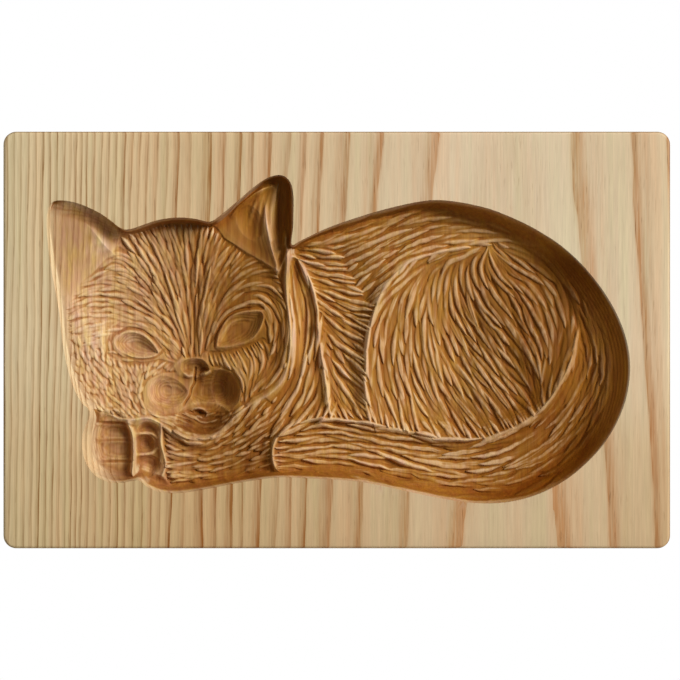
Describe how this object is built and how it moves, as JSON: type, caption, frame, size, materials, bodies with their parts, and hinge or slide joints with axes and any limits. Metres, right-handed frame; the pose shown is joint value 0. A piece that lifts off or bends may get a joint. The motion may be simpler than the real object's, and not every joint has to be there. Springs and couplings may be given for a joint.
{
  "type": "wooden cookie mould",
  "caption": "Rectangular hardwood board with a sleeping cat cut into its face as a negative, for pressing gingerbread or shortbread dough.",
  "frame": {"origin": "centre of the board's flat back, on the surface it lies on", "axes": "+Z out of the carved face, +X along the long side towards the cat's tail, +Y along the short side and the wood grain, towards the cat's ears"},
  "size_m": [0.16, 0.1, 0.02],
  "materials": {
    "ash_wood": "smooth oiled ash; the carved hollow is a warmer, darker honey brown than the flat face"
  },
  "bodies": {
    "root": {"mould_board": "ash_wood"}
  },
  "joints": []
}
